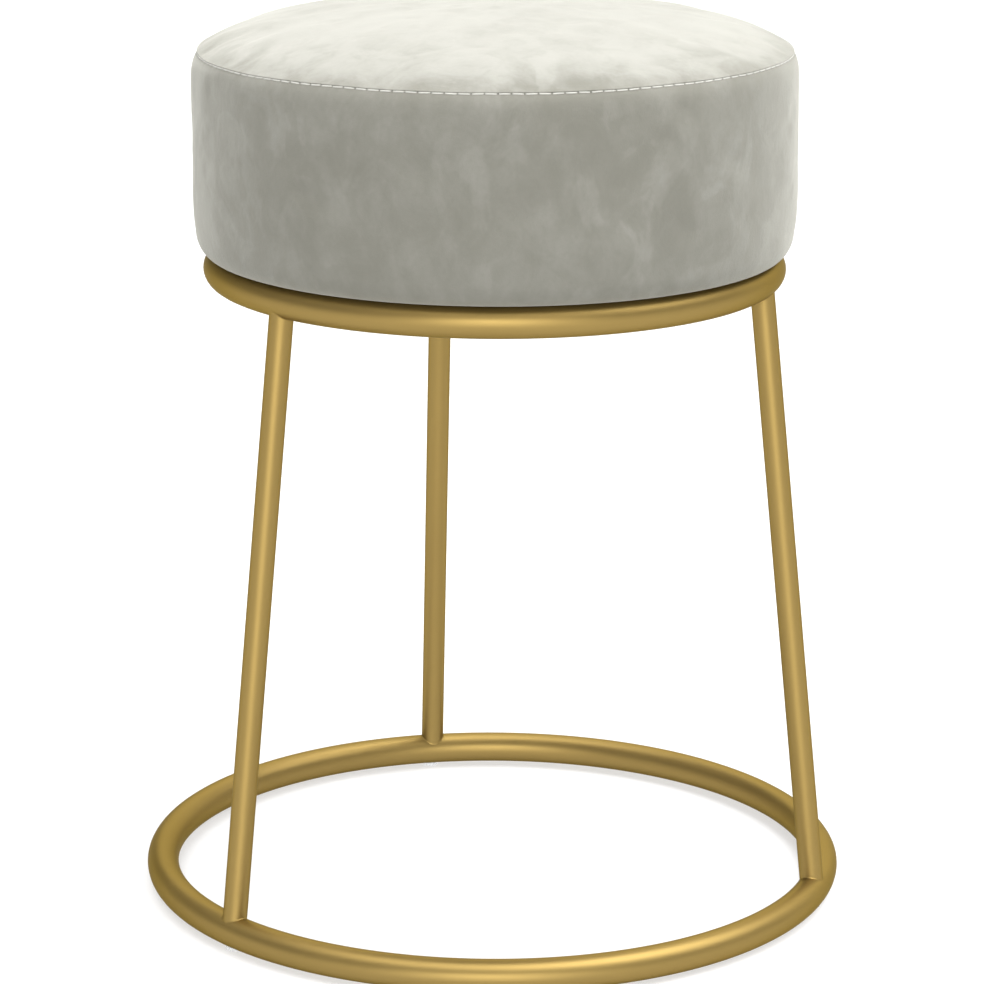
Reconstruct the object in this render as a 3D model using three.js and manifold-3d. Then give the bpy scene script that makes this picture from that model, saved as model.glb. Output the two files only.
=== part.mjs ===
// Round vanity stool: a crowned seat with a sewn velvet cover, bolted to a welded tube frame
// that has a ring under the seat, a wider ring on the floor and three raked legs between them.
// Millimetres, +Z up, floor at z = 0, front towards -Y, origin on the floor under the middle.

import * as THREE from 'three';
import { mergeVertices } from 'three/addons/utils/BufferGeometryUtils.js';
import Module from 'manifold-3d';

const wasm = await Module();
wasm.setup();

// Gaps and cuts
const touchGap = 0.3; // between pieces that touch
const cutOverrun = 2; // how far a cutter runs past what it cuts

// Cushion, measured from its flat underside
const seamRadius = 148.1; // at the sewn edge between the band and the top panel
const sideHeight = 98.3; // from the underside up to the sewn edge
const sideBulge = 1.6; // how far the band swells beyond the sewn edge
const crownRise = 25.9; // from the sewn edge up to the middle of the seat
const cornerWidth = 7.1; // rounded bottom edge, inwards
const cornerRise = 12; // rounded bottom edge, upwards

// Velvet cover
const coverThickness = 1.2;
const hemDepth = 8; // seam allowance of the top panel, turned down inside the band

// Seat board
const boardSetback = 2; // from the start of the rounded bottom edge in to the board's edge
const boardThickness = 15;
const boardArris = 1.5; // bevel round the lower edge

// Welded frame
const baseRingRadius = 171; // centre line of the ring on the floor
const seatOverhang = 10.6; // of the sewn edge past the centre line of the ring under the seat
const ringTubeRadius = 8;
const ringRise = 312; // from the centre of one ring up to the centre of the other
const legTubeRadius = 6;
const legWall = 1.2;

// Clear pads stuck under the floor ring, one below each leg
const padRadius = 4;
const padThickness = 0.8; // under the ring's lowest line
const padLip = 0.9; // how far the pad's sides climb round the tube

// Dust cover under the board
const dustCoverThickness = 0.6;
const dustCoverMargin = 2.5; // between its edge and the inside of the ring
const dustHoleMargin = 0.5; // round each bolt

// Three seat fixings, each a welded tab with a bolt, a washer and a tee nut
const tabReach = 25.5; // from the centre line of the ring in to the bolt
const tabHalfWidth = 10;
const tabThickness = 3;
const tabHoleMargin = 0.3; // round the bolt
const boltRadius = 3;
const boltTipDepth = 2.5; // of the bolt's tip below the top of the board
const flangeMargin = 6; // from the middle of the bolt out to the edge of the cover's flange
const headRadius = 5.25;
const headHeight = 3.3;
const headEdge = 1.2; // height of the head's straight edge
const headFlatRadius = 3; // flat round the socket
const socketRadius = 2.3; // to the corners of the hexagon
const socketDepth = 2;
const washerRadius = 7;
const washerThickness = 1.2;
const washerHoleMargin = 0.3; // round the bolt
const teeFlangeRadius = 9.5;
const teeFlangeThickness = 1.2;
const teeWall = 1; // wall of the barrel
const teeThreadMargin = 0.3; // between the bolt and the barrel
const teeBarrelLength = 9;

// Powers of the two soft outlines
const crownPower = 1.78;
const bulgePower = 6;

// Facets
const ringSteps = 60;
const tubeSides = 16;
const seatSteps = 48;
const cornerSteps = 3;
const sideSteps = 6;
const crownSteps = 8;
const smallSides = 16;
const socketSides = 6;

// Radii that follow from the cushion
const topRingRadius = seamRadius - seatOverhang;
const boltCircleRadius = topRingRadius - tabReach;
const flangeInnerRadius = boltCircleRadius + flangeMargin;
const boardRadius = seamRadius - cornerWidth - boardSetback;

// Heights from the floor up to the seat
const baseRingHeight = padThickness + touchGap + ringTubeRadius;
const topRingHeight = baseRingHeight + ringRise;
const seatBottom = topRingHeight + ringTubeRadius + touchGap;
const seamHeight = seatBottom + sideHeight;
const boardBottom = seatBottom + coverThickness + touchGap;
const boardTop = boardBottom + boardThickness;

// Heights of what hangs under the seat, from the top down
const dustCoverBottom = seatBottom - touchGap - dustCoverThickness;
const tabTop = dustCoverBottom - touchGap;
const tabBottom = tabTop - tabThickness;
const washerBottom = tabBottom - touchGap - washerThickness;
const headTop = washerBottom - touchGap;
const boltTip = boardTop - boltTipDepth;

// Radii of the tee nut, whose flange lies flush in the board
const teeBore = boltRadius + teeThreadMargin;
const teeBarrelRadius = teeBore + teeWall;
const teeSeat = boardTop - teeFlangeThickness;

// Where the pieces stand round the axis, in degrees from +X
const legPlaces = { back: 90, front_left: 210, front_right: 330 };
const fixingPlaces = { front: 270, back_right: 30, back_left: 150 };

const satinGold = { color: 0xbd9d5e, roughness: 0.34, metalness: 1 };
const zincSteel = { color: 0xb4b8bc, roughness: 0.35, metalness: 1 };
const velvet = { color: 0xc9c6bc, roughness: 0.9, metalness: 0 };
const foam = { color: 0xe8e0c4, roughness: 0.95, metalness: 0 };
const plywood = { color: 0xc9a678, roughness: 0.7, metalness: 0 };
const blackCloth = { color: 0x1c1c1e, roughness: 0.9, metalness: 0 };
const clearRubber = { color: 0xe9ecec, roughness: 0.15, metalness: 0, transparent: true, opacity: 0.4 };

const stool = new THREE.Group();

// A named piece, turned round the Z axis from +X to its place
function addPiece(name, geometry, finish, degrees = 0) {
  const piece = new THREE.Mesh(geometry, new THREE.MeshStandardMaterial(finish));
  piece.name = name;
  piece.rotation.z = THREE.MathUtils.degToRad(degrees);
  stool.add(piece);
}

// A closed geometry as a solid that can be cut
function toSolid(geometry) {
  const plain = geometry.clone();
  plain.deleteAttribute('normal');
  plain.deleteAttribute('uv');
  const merged = mergeVertices(plain);
  const triVerts = [];
  for (let i = 0; i < merged.index.count; i += 3) {
    const [a, b, c] = merged.index.array.slice(i, i + 3);
    if (a !== b && b !== c && c !== a) triVerts.push(a, b, c);
  }
  const mesh = new wasm.Mesh({
    numProp: 3,
    vertProperties: merged.attributes.position.array,
    triVerts: new Uint32Array(triVerts),
  });
  return new wasm.Manifold(mesh);
}

function toGeometry(solid) {
  const mesh = solid.getMesh();
  const geometry = new THREE.BufferGeometry();
  geometry.setAttribute('position', new THREE.BufferAttribute(mesh.vertProperties, mesh.numProp));
  geometry.setIndex(new THREE.BufferAttribute(mesh.triVerts, 1));
  geometry.computeVertexNormals();
  return geometry;
}

// An outline of radius and height pairs, anticlockwise in section, turned round the Z axis
function revolve(outline, steps) {
  const points = outline.map(([radius, height]) => new THREE.Vector2(radius, height));
  return new THREE.LatheGeometry(points, steps).rotateX(Math.PI / 2);
}

// The same for an outline that stays clear of the axis and closes on itself
function revolveRing(outline, steps) {
  return revolve([...outline, outline[0]], steps);
}

// An upright bar from one height to another, standing off the axis along +X
function uprightBar(radius, bottom, top, distance, sides = smallSides) {
  const bar = new THREE.CylinderGeometry(radius, radius, top - bottom, sides);
  return bar.rotateX(Math.PI / 2).translate(distance, 0, (bottom + top) / 2);
}

// Points from the start of a curve to its end
function along(steps, place) {
  return Array.from({ length: steps + 1 }, (_, step) => place(step / steps));
}

function ring(ringRadius, height, tubeRadius = ringTubeRadius) {
  const torus = new THREE.TorusGeometry(ringRadius, tubeRadius, tubeSides, ringSteps);
  return torus.translate(0, 0, height);
}

// The space that each ring keeps from whatever sits on its tube
const spacedTube = ringTubeRadius + touchGap;
const baseRingSpace = toSolid(ring(baseRingRadius, baseRingHeight, spacedTube));
const topRingSpace = toSolid(ring(topRingRadius, topRingHeight, spacedTube));

// A leg is a tube on the line between the centres of the rings, cut to a saddle at each end
function leg() {
  const foot = new THREE.Vector3(baseRingRadius, 0, baseRingHeight);
  const head = new THREE.Vector3(topRingRadius, 0, topRingHeight);
  const middle = foot.clone().lerp(head, 0.5);
  const line = head.clone().sub(foot);
  const upright = new THREE.Vector3(0, 1, 0);
  const lean = new THREE.Quaternion().setFromUnitVectors(upright, line.clone().normalize());
  const halfSide = Math.PI / tubeSides;
  const bar = (radius, overrun) => {
    const length = line.length() + overrun;
    const shape = new THREE.CylinderGeometry(radius, radius, length, tubeSides, 1, false, halfSide);
    return toSolid(shape.applyQuaternion(lean).translate(...middle));
  };
  const tube = bar(legTubeRadius, 0).subtract(bar(legTubeRadius - legWall, cutOverrun));
  return toGeometry(tube.subtract(baseRingSpace).subtract(topRingSpace));
}

// A pad is a clear disc whose top is moulded round the underside of the floor ring
function footPad() {
  const disc = toSolid(uprightBar(padRadius, 0, padThickness + padLip, baseRingRadius));
  return toGeometry(disc.subtract(baseRingSpace));
}

// A tab is flat bar with a round inner end, a bolt hole and an outer end cut to the ring's tube
function mountTab() {
  const quarter = Math.PI / 2;
  const outline = new THREE.Shape();
  outline.moveTo(topRingRadius, -tabHalfWidth);
  outline.lineTo(topRingRadius, tabHalfWidth);
  outline.absarc(boltCircleRadius, 0, tabHalfWidth, quarter, 3 * quarter);
  const hole = new THREE.Path();
  hole.absarc(boltCircleRadius, 0, boltRadius + tabHoleMargin, 0, 4 * quarter);
  outline.holes.push(hole);
  const settings = { depth: tabThickness, bevelEnabled: false, curveSegments: smallSides / 2 };
  const plate = new THREE.ExtrudeGeometry(outline, settings).translate(0, 0, tabBottom);
  return toGeometry(toSolid(plate).subtract(topRingSpace));
}

// A button head bolt with a hexagon socket, pointing up
function seatBolt() {
  const headBottom = headTop - headHeight;
  const outline = [
    [0, headBottom],
    [headFlatRadius, headBottom],
    [headRadius, headTop - headEdge],
    [headRadius, headTop],
    [boltRadius, headTop],
    [boltRadius, boltTip],
    [0, boltTip],
  ];
  const bolt = toSolid(revolve(outline, smallSides).translate(boltCircleRadius, 0, 0));
  const floor = headBottom + socketDepth;
  const socket = uprightBar(socketRadius, headBottom - cutOverrun, floor, boltCircleRadius, socketSides);
  return toGeometry(bolt.subtract(toSolid(socket)));
}

function seatWasher() {
  const hole = boltRadius + washerHoleMargin;
  const outline = [
    [hole, washerBottom],
    [washerRadius, washerBottom],
    [washerRadius, washerBottom + washerThickness],
    [hole, washerBottom + washerThickness],
  ];
  return revolveRing(outline, smallSides).translate(boltCircleRadius, 0, 0);
}

function teeNut() {
  const outline = [
    [teeBore, teeSeat - teeBarrelLength],
    [teeBarrelRadius, teeSeat - teeBarrelLength],
    [teeBarrelRadius, teeSeat],
    [teeFlangeRadius, teeSeat],
    [teeFlangeRadius, boardTop],
    [teeBore, boardTop],
  ];
  return revolveRing(outline, smallSides).translate(boltCircleRadius, 0, 0);
}

// Cutters at each fixing, taken from a piece that the fixings pass through
function cutAtFixings(geometry, cutters) {
  let solid = toSolid(geometry);
  for (const degrees of Object.values(fixingPlaces)) {
    for (const cutter of cutters) {
      solid = solid.subtract(toSolid(cutter).rotate([0, 0, degrees]));
    }
  }
  return toGeometry(solid);
}

function seatBoard() {
  const outline = [
    [0, boardBottom],
    [boardRadius - boardArris, boardBottom],
    [boardRadius, boardBottom + boardArris],
    [boardRadius, boardTop],
    [0, boardTop],
  ];
  const hole = teeBarrelRadius + touchGap;
  const recess = teeFlangeRadius + touchGap;
  return cutAtFixings(revolve(outline, seatSteps), [
    uprightBar(hole, boardBottom - cutOverrun, boardTop + cutOverrun, boltCircleRadius),
    uprightBar(recess, teeSeat - touchGap, boardTop + cutOverrun, boltCircleRadius),
  ]);
}

function dustCover() {
  const edge = topRingRadius - ringTubeRadius - dustCoverMargin;
  const top = dustCoverBottom + dustCoverThickness;
  const outline = [[0, dustCoverBottom], [edge, dustCoverBottom], [edge, top], [0, top]];
  const hole = boltRadius + dustHoleMargin;
  return cutAtFixings(revolve(outline, seatSteps), [
    uprightBar(hole, dustCoverBottom - cutOverrun, top + cutOverrun, boltCircleRadius),
  ]);
}

// The cushion's section in three curves, each moved in from the outside by an inset

function cornerCurve(inset) {
  return along(cornerSteps, (share) => [
    seamRadius - cornerWidth + (cornerWidth - inset) * Math.sin(share * Math.PI / 2),
    seatBottom + cornerRise - (cornerRise - inset) * Math.cos(share * Math.PI / 2),
  ]);
}

function sideCurve(inset, top) {
  const bottom = seatBottom + cornerRise;
  return along(sideSteps, (share) => {
    const height = bottom + (top - bottom) * (1 - Math.cos(share * Math.PI)) / 2;
    const offMiddle = Math.abs(2 * (height - bottom) / (seamHeight - bottom) - 1);
    return [seamRadius - inset + sideBulge * (1 - offMiddle ** bulgePower), height];
  });
}

function crownCurve(radiusInset, riseInset) {
  return along(crownSteps, (share) => [
    (seamRadius - radiusInset) * Math.cos(share * Math.PI / 2) ** (2 / crownPower),
    seamHeight + (crownRise - riseInset) * Math.sin(share * Math.PI / 2) ** (2 / crownPower),
  ]);
}

// The band goes up the side of the cushion and is turned under the board as a flat flange
function coverSideBand() {
  const top = seamHeight - touchGap;
  const outside = [...cornerCurve(0), ...sideCurve(0, top).slice(1)];
  const inside = [...cornerCurve(coverThickness), ...sideCurve(coverThickness, top).slice(1)];
  const outline = [
    [flangeInnerRadius, seatBottom],
    ...outside,
    ...inside.reverse(),
    [flangeInnerRadius, seatBottom + coverThickness],
  ];
  return revolveRing(outline, seatSteps);
}

// The top panel is crowned, and its seam allowance is turned down inside the band
const hemOutside = coverThickness + touchGap;
const hemInside = hemOutside + coverThickness;
const hemBottom = seamHeight - hemDepth;

function coverTopPanel() {
  const outline = [
    [seamRadius - hemInside, hemBottom],
    [seamRadius - hemOutside, hemBottom],
    [seamRadius - hemOutside, seamHeight],
    ...crownCurve(0, 0),
    ...crownCurve(hemInside, coverThickness).reverse(),
  ];
  return revolveRing(outline, seatSteps);
}

// The foam is crowned under the panel, set back behind its hem and wrapped down round the board
function seatFoam() {
  const inset = coverThickness + touchGap;
  const side = sideCurve(inset, hemBottom - touchGap);
  const outline = [
    [0, boardTop + touchGap],
    [boardRadius + touchGap, boardTop + touchGap],
    [boardRadius + touchGap, boardBottom],
    ...cornerCurve(inset),
    ...side.slice(1),
    [seamRadius - hemInside - touchGap, hemBottom - touchGap],
    ...crownCurve(hemInside + touchGap, inset),
  ];
  return revolve(outline, seatSteps);
}

addPiece('base_ring', ring(baseRingRadius, baseRingHeight), satinGold);
addPiece('top_ring', ring(topRingRadius, topRingHeight), satinGold);
for (const [place, degrees] of Object.entries(legPlaces)) {
  addPiece(`leg_${place}`, leg(), satinGold, degrees);
  addPiece(`foot_pad_${place}`, footPad(), clearRubber, degrees);
}
for (const [place, degrees] of Object.entries(fixingPlaces)) {
  addPiece(`mount_tab_${place}`, mountTab(), satinGold, degrees);
  addPiece(`seat_bolt_${place}`, seatBolt(), zincSteel, degrees);
  addPiece(`seat_washer_${place}`, seatWasher(), zincSteel, degrees);
  addPiece(`tee_nut_${place}`, teeNut(), zincSteel, degrees);
}
addPiece('dust_cover', dustCover(), blackCloth);
addPiece('seat_board', seatBoard(), plywood);
addPiece('seat_foam', seatFoam(), foam);
addPiece('cover_side_band', coverSideBand(), velvet);
addPiece('cover_top_panel', coverTopPanel(), velvet);

export default stool;
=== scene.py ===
"""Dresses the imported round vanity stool: a crowned velvet seat on a satin gold tube frame.

Lengths are in metres, with +Z up from the floor and the front of the stool towards -Y.
"""

import math
import random

import bpy
import numpy as np
from bpy.props import FloatProperty, FloatVectorProperty, IntProperty, PointerProperty
from bpy.types import Operator, Panel, PropertyGroup
from mathutils import Matrix, Vector, noise
from mathutils.geometry import delaunay_2d_cdt


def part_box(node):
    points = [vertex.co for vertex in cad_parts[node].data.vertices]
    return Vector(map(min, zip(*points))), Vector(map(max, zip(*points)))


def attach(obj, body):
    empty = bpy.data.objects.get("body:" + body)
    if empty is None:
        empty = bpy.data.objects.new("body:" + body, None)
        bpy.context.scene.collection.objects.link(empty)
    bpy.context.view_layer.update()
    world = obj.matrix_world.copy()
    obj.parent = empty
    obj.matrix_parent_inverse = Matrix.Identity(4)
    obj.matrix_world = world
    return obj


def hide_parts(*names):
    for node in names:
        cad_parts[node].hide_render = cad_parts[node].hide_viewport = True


bl_info = {
    "name": "Round Vanity Stool",
    "version": (1, 0, 0),
    "blender": (4, 5, 0),
    "location": "3D View > Sidebar > Stool",
    "description": "Dresses the packed stool in velvet and satin gold, in a soft pale studio",
    "category": "Object",
}

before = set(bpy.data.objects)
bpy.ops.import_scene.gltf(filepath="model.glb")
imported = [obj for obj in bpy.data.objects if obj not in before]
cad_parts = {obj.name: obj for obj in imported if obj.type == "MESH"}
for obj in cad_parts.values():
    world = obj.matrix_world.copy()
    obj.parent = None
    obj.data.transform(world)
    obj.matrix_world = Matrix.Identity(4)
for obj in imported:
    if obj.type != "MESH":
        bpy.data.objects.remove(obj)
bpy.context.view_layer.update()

MM = 0.001
BODY = "root"


def ring_sizes(node):
    """Radius of the ring's circle, height of its centre and radius of its tube."""
    low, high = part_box(node)
    tube = (high.z - low.z) / 2
    return high.x - tube, (high.z + low.z) / 2, tube


def height_range(node):
    """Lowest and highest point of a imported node."""
    low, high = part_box(node)
    return low.z, high.z


# Frame and fixings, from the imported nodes
FLOOR_RING, FLOOR_RING_HEIGHT, RING_TUBE = ring_sizes("base_ring")
SEAT_RING, SEAT_RING_HEIGHT, _ = ring_sizes("top_ring")
LEG_ANGLES = {"back": 90, "front_left": 210, "front_right": 330}
# How far each leg's foot and head were welded out of line, in degrees round their rings
LEG_STRAYS = {"back": (-0.43, 0.0), "front_left": (0.06, 0.73), "front_right": (0.0, 0.0)}
FIXING_ANGLES = {"front": 270, "back_right": 30, "back_left": 150}
BOLT_CIRCLE = -(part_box("seat_bolt_front")[0].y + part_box("seat_bolt_front")[1].y) / 2
BOLT_BOTTOM, BOLT_TIP = height_range("seat_bolt_front")
WASHER_BOTTOM, WASHER_TOP = height_range("seat_washer_front")
DUST_BOTTOM, DUST_TOP = height_range("dust_cover")
DUST_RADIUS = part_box("dust_cover")[1].x
BOARD_BOTTOM, BOARD_TOP = height_range("seat_board")
BOARD_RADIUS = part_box("seat_board")[1].x

# Cushion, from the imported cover
SEAT_BOTTOM = height_range("cover_side_band")[0]
HEM_BOTTOM, CROWN_TOP = height_range("cover_top_panel")
HEM_DEPTH = 8 * MM
SEAM_LIFT = 2.4 * MM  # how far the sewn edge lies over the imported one
SEAM_HEIGHT = HEM_BOTTOM + HEM_DEPTH + SEAM_LIFT
SIDE_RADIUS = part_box("cover_side_band")[1].x
SIDE_BULGE = 0.5 * MM
SEAM_DRAW = 3.2 * MM  # how far the side is drawn in at the sewn edge
SEAM_RADIUS = SIDE_RADIUS - SEAM_DRAW
SEAM_POWER = 11
FOOT_DRAW = 0.8 * MM  # how far the side is drawn in over its lower corner
FOOT_POWER = 6
FOOT_RADIUS = SIDE_RADIUS - FOOT_DRAW
CROWN_RADIUS = SEAM_RADIUS + 0.55 * MM
CROWN_BASE = SEAM_HEIGHT + 0.6 * MM
CROWN_EDGE_SHARE = 0.27  # share of the crown's fall that comes near its edge
CROWN_EDGE_POWER = 9
CORNER_WIDTH = 7.1 * MM
CORNER_RISE = 12 * MM
COVER_THICKNESS = 1.2 * MM
TOUCH_GAP = 0.3 * MM
FLANGE_INNER = 118 * MM
FLANGE_OUTER = 139.5 * MM
CREASE_HEIGHT = SEAM_HEIGHT + 0.3 * MM
SEAM_LEAN = 0.7 * MM
SEAM_LEAN_ANGLE = math.radians(40)
SEAM_SIDE_DIP = 0.8 * MM
SEAM_WAVES = 0.2 * MM
SEAM_WANDER_REACH = 11 * MM  # how far from the sewn edge the cover follows its wander
PUCKER_WIDTH = 0.13  # of one stitch
PANEL_PUCKER_REACH = 2.4 * MM
BAND_PUCKER_REACH = 2.2 * MM
BAND_PUCKER_SHARE = 0.35
STITCH_DROP = 0.49 * MM  # how far the thread lies under the crease
STITCH_STAND_OFF = 0.1 * MM
STITCH_END_DIP = 0.45 * MM
BACK_SEAM = math.radians(90)

# Camera, from a fit of both rings, the legs and the seat to the photograph
LENS_MM = 138.74
SENSOR_MM = 36
CAMERA_PLACE = (-0.3860, -1.8241, 0.6949)
CAMERA_TURN = math.radians(-11.9205)
CAMERA_PITCH = math.radians(14.78)
CAMERA_ROLL = math.radians(0.22)


# Shader writing


def math_node(operation, swapped=False):
    """A method of Wire that adds this Math node on itself and the other values."""

    def method(self, *others):
        values = (*others, self) if swapped else (self, *others)
        return self.finish.node("ShaderNodeMath", {"operation": operation}, dict(enumerate(values)))

    return method


class Wire:
    """A socket in a finish's node tree. Arithmetic on it adds Math nodes."""

    def __init__(self, finish, socket):
        self.finish = finish
        self.socket = socket

    __add__ = __radd__ = math_node("ADD")
    __sub__ = math_node("SUBTRACT")
    __rsub__ = math_node("SUBTRACT", swapped=True)
    __mul__ = __rmul__ = math_node("MULTIPLY")
    __truediv__ = math_node("DIVIDE")
    __pow__ = math_node("POWER")
    above = math_node("GREATER_THAN")
    at_least = math_node("MAXIMUM")
    absolute = math_node("ABSOLUTE")
    wrapped = math_node("FRACT")

    def eased(self, start, end):
        """0 below start and 1 above end, with a soft step between."""
        settings = {"interpolation_type": "SMOOTHSTEP"}
        sockets = {"Value": self, "From Min": start, "From Max": end}
        return self.finish.node("ShaderNodeMapRange", settings, sockets, "Result")


class Finish:
    """A procedural material, written node by node."""

    def __init__(self, name):
        self.material = bpy.data.materials.new(name)
        self.material.use_nodes = True
        self.nodes = self.material.node_tree.nodes
        self.links = self.material.node_tree.links
        self.nodes.clear()
        self.place = None

    def node(self, kind, settings=None, sockets=None, out=0):
        """Adds one node. Settings go first, then values and links of sockets."""
        made = self.nodes.new(kind)
        for name, value in (settings or {}).items():
            setattr(made, name, value)
        for name, value in (sockets or {}).items():
            if isinstance(value, Wire):
                self.links.new(value.socket, made.inputs[name])
            else:
                made.inputs[name].default_value = value
        return Wire(self, made.outputs[out]) if made.outputs else None

    def coordinates(self, stretch=(1, 1, 1)):
        if self.place is None:
            self.place = self.node("ShaderNodeTexCoord", out="Object")
        if stretch == (1, 1, 1):
            return self.place
        settings = {"operation": "MULTIPLY"}
        return self.node("ShaderNodeVectorMath", settings, {0: self.place, 1: stretch})

    def noise(self, per_metre, detail=2.0, rough=0.5, twist=0.0, stretch=(1, 1, 1)):
        sockets = {
            "Vector": self.coordinates(stretch),
            "Scale": per_metre,
            "Detail": detail,
            "Roughness": rough,
            "Distortion": twist,
        }
        return self.node("ShaderNodeTexNoise", None, sockets, "Fac")

    def cells(self, per_metre, spread=1.0, stretch=(1, 1, 1)):
        sockets = {
            "Vector": self.coordinates(stretch),
            "Scale": per_metre,
            "Randomness": spread,
        }
        return self.node("ShaderNodeTexVoronoi", {"feature": "F1"}, sockets, "Distance")

    def axis(self, name):
        return self.node("ShaderNodeSeparateXYZ", None, {0: self.coordinates()}, name)

    def mix(self, share, first, second):
        """A colour between two colours or colour sockets."""
        settings = {"data_type": "RGBA", "clamp_factor": True}
        return self.node("ShaderNodeMix", settings, {0: share, 6: first, 7: second}, 2)

    def bump(self, height, strength, distance):
        sockets = {"Height": height, "Strength": strength, "Distance": distance}
        return self.node("ShaderNodeBump", None, sockets, "Normal")

    def surface(self, **values):
        """The closing shader, with sockets named by lower-case words joined by _."""
        sockets = {}
        for name, value in values.items():
            sockets[name.replace("_", " ").title().replace("Ior", "IOR")] = value
        self.close(self.node("ShaderNodeBsdfPrincipled", None, sockets))
        return self.material

    def close(self, shader):
        self.node("ShaderNodeOutputMaterial", {"is_active_output": True}, {"Surface": shader})


def opaque(color):
    return (*color, 1)


def shaded(color, factor):
    return tuple(min(channel * factor, 1) for channel in color)


def gold_finish(look):
    finish = Finish("satin_gold")
    cloud = finish.noise(26, 3, 0.55)
    grain = finish.noise(1300, 2, 0.6)
    tone = (cloud - 0.5) * 0.5 + (grain - 0.5) * 0.3 + 0.5
    dark, light = shaded(look.gold_color, 0.9), shaded(look.gold_color, 1.1)
    return finish.surface(
        base_color=finish.mix(tone, opaque(dark), opaque(light)),
        metallic=look.gold_metallic,
        roughness=(cloud - 0.5) * 0.1 + (grain - 0.5) * 0.08 + look.gold_roughness,
        specular_tint=opaque(look.gold_edge_color),
        normal=finish.bump(grain * 0.7 + finish.noise(320, 2) * 0.3, 0.06, 0.2 * MM),
    )


def velvet_finish(look, name, nap_and_painted_light, contrast, painted_edge_shade):
    """Short pile that leans in patches, some with a crisp edge where a hand has brushed it. The lift of
    the pile is partly painted light: lighter on the top panel as painted top light, darker on the side
    band as painted side shade. The top panel is also darkened towards the sewn edge as painted shade.
    """
    finish = Finish(name)
    cloud = finish.noise(13, 3, 0.5, 0.3)
    patch = finish.noise(44, 4, 0.6, 0.8, (1, 1, 0.8))
    stroke = finish.noise(29, 3, 0.55, 1.4, (1, 1, 0.75)).eased(0.47, 0.58)
    worn = finish.noise(9, 2).eased(0.38, 0.58)
    smear = finish.noise(110, 3, 0.6, 0.6, (1, 1, 0.6))
    nap = finish.noise(420, 2, 0.6)
    grain = finish.noise(1900, 2, 0.7)
    lean = (patch - 0.5) * 1.6 + (cloud - 0.5) * 1.1 + (stroke - 0.5) * worn * 0.3
    tone = lean + (smear - 0.5) * 0.5 + (nap - 0.5) * 0.3 + (grain - 0.5) * 0.25
    radius = (finish.axis("X") ** 2 + finish.axis("Y") ** 2) ** 0.5
    # Painted shade: the top panel's colour darkens towards the sewn edge, most in its last few
    # millimetres.
    edge = radius.eased(0.8 * SEAM_RADIUS, SEAM_RADIUS)
    edge = edge + radius.eased(0.92 * SEAM_RADIUS, SEAM_RADIUS) * 0.6
    # Painted light: the nap lift pushes the top panel towards the raised colour as painted top light and
    # the side band towards the brushed colour as painted side shade; only partly the real lie of the
    # pile.
    share = (tone * contrast + nap_and_painted_light - edge * painted_edge_shade).eased(0.0, 1.0)
    brushed, raised = opaque(look.velvet_dark), opaque(look.velvet_light)
    pile = grain * 0.45 + nap * 0.35 + smear * 0.4 + patch * 0.8
    return finish.surface(
        base_color=finish.mix(share, brushed, raised),
        roughness=0.92,
        specular_ior_level=0.15,
        sheen_weight=look.velvet_sheen,
        sheen_roughness=look.velvet_sheen_spread,
        sheen_tint=opaque(look.velvet_sheen_tint),
        normal=finish.bump(pile, 0.35, 0.6 * MM),
    )


def thread_finish():
    finish = Finish("white_thread")
    fibre = finish.noise(2600, 2, 0.6)
    shade = finish.noise(300, 2)
    return finish.surface(
        base_color=finish.mix(shade, (0.63, 0.62, 0.57, 1), (0.76, 0.75, 0.70, 1)),
        roughness=0.6 + (fibre - 0.5) * 0.2,
        sheen_weight=0.3,
        sheen_roughness=0.4,
        normal=finish.bump(fibre, 0.3, 0.1 * MM),
    )


def pad_finish():
    finish = Finish("clear_pad")
    haze = finish.noise(700, 2)
    return finish.surface(
        base_color=finish.mix(haze, (0.90, 0.92, 0.92, 1), (0.96, 0.97, 0.97, 1)),
        roughness=haze * 0.15 + 0.12,
        transmission_weight=0.9,
        ior=1.45,
        normal=finish.bump(haze, 0.1, 0.1 * MM),
    )


def zinc_finish():
    finish = Finish("zinc_plate")
    spangle = finish.cells(650)
    scratch = finish.noise(900, 2, 0.6, 0.0, (1, 1, 6))
    tone = spangle * 0.5 + scratch * 0.5
    return finish.surface(
        base_color=finish.mix(tone, (0.46, 0.49, 0.52, 1), (0.62, 0.63, 0.64, 1)),
        metallic=1.0,
        roughness=scratch * 0.2 + 0.25,
        normal=finish.bump(scratch, 0.12, 0.1 * MM),
    )


def plywood_finish():
    finish = Finish("plywood")
    layer = ((finish.axis("Z") - BOARD_BOTTOM) / (BOARD_TOP - BOARD_BOTTOM) * 3.5).wrapped()
    crossed = layer.above(0.5)
    grain = finish.noise(60, 5, 0.6, 1.2, (0.12, 1, 1))
    pore = finish.noise(900, 3, 0.6, 0.0, (0.05, 1, 1))
    tone = grain * 0.7 + pore * 0.3 + crossed * 0.18
    glue = ((layer - 0.5).absolute() - 0.46).above(0)
    wood = finish.mix(tone, (0.66, 0.48, 0.28, 1), (0.40, 0.25, 0.12, 1))
    return finish.surface(
        base_color=finish.mix(glue, wood, (0.20, 0.12, 0.06, 1)),
        roughness=pore * 0.25 + 0.55,
        normal=finish.bump(pore + grain * 0.5, 0.3, 0.3 * MM),
    )


def foam_finish():
    finish = Finish("cut_foam")
    cell = finish.cells(900)
    coarse = finish.noise(45, 3)
    return finish.surface(
        base_color=finish.mix(coarse + cell * 0.4 - 0.2, (0.80, 0.74, 0.52, 1), (0.68, 0.58, 0.33, 1)),
        roughness=0.95,
        normal=finish.bump(cell, 0.8, 0.6 * MM),
    )


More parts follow.
